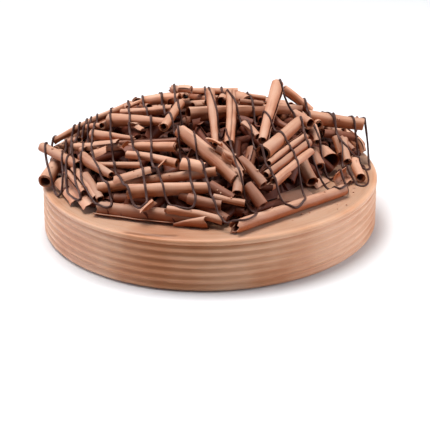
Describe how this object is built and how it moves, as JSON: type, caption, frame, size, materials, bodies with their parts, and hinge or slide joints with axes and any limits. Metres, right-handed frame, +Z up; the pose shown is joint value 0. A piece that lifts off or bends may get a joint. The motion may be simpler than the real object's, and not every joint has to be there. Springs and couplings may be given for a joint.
{
  "type": "milk chocolate cake",
  "caption": "Round milk chocolate cake with combed icing, a heap of rolled chocolate curls and a dark chocolate drizzle.",
  "frame": {"origin": "middle of the cake's flat underside, where it rests", "axes": "+Z up through the cake, -Y towards the front, where the lowest long curls lie on the icing, +X to the right of someone facing the front"},
  "size_m": [0.2522, 0.251, 0.1075],
  "materials": {
    "icing": "smooth milk chocolate buttercream with a soft sheen",
    "curls": "milk chocolate with a satin sheen, and dark chocolate drizzle over it"
  },
  "bodies": {
    "root": {"iced_cake": "icing", "curl_heap": "curls"}
  },
  "joints": []
}
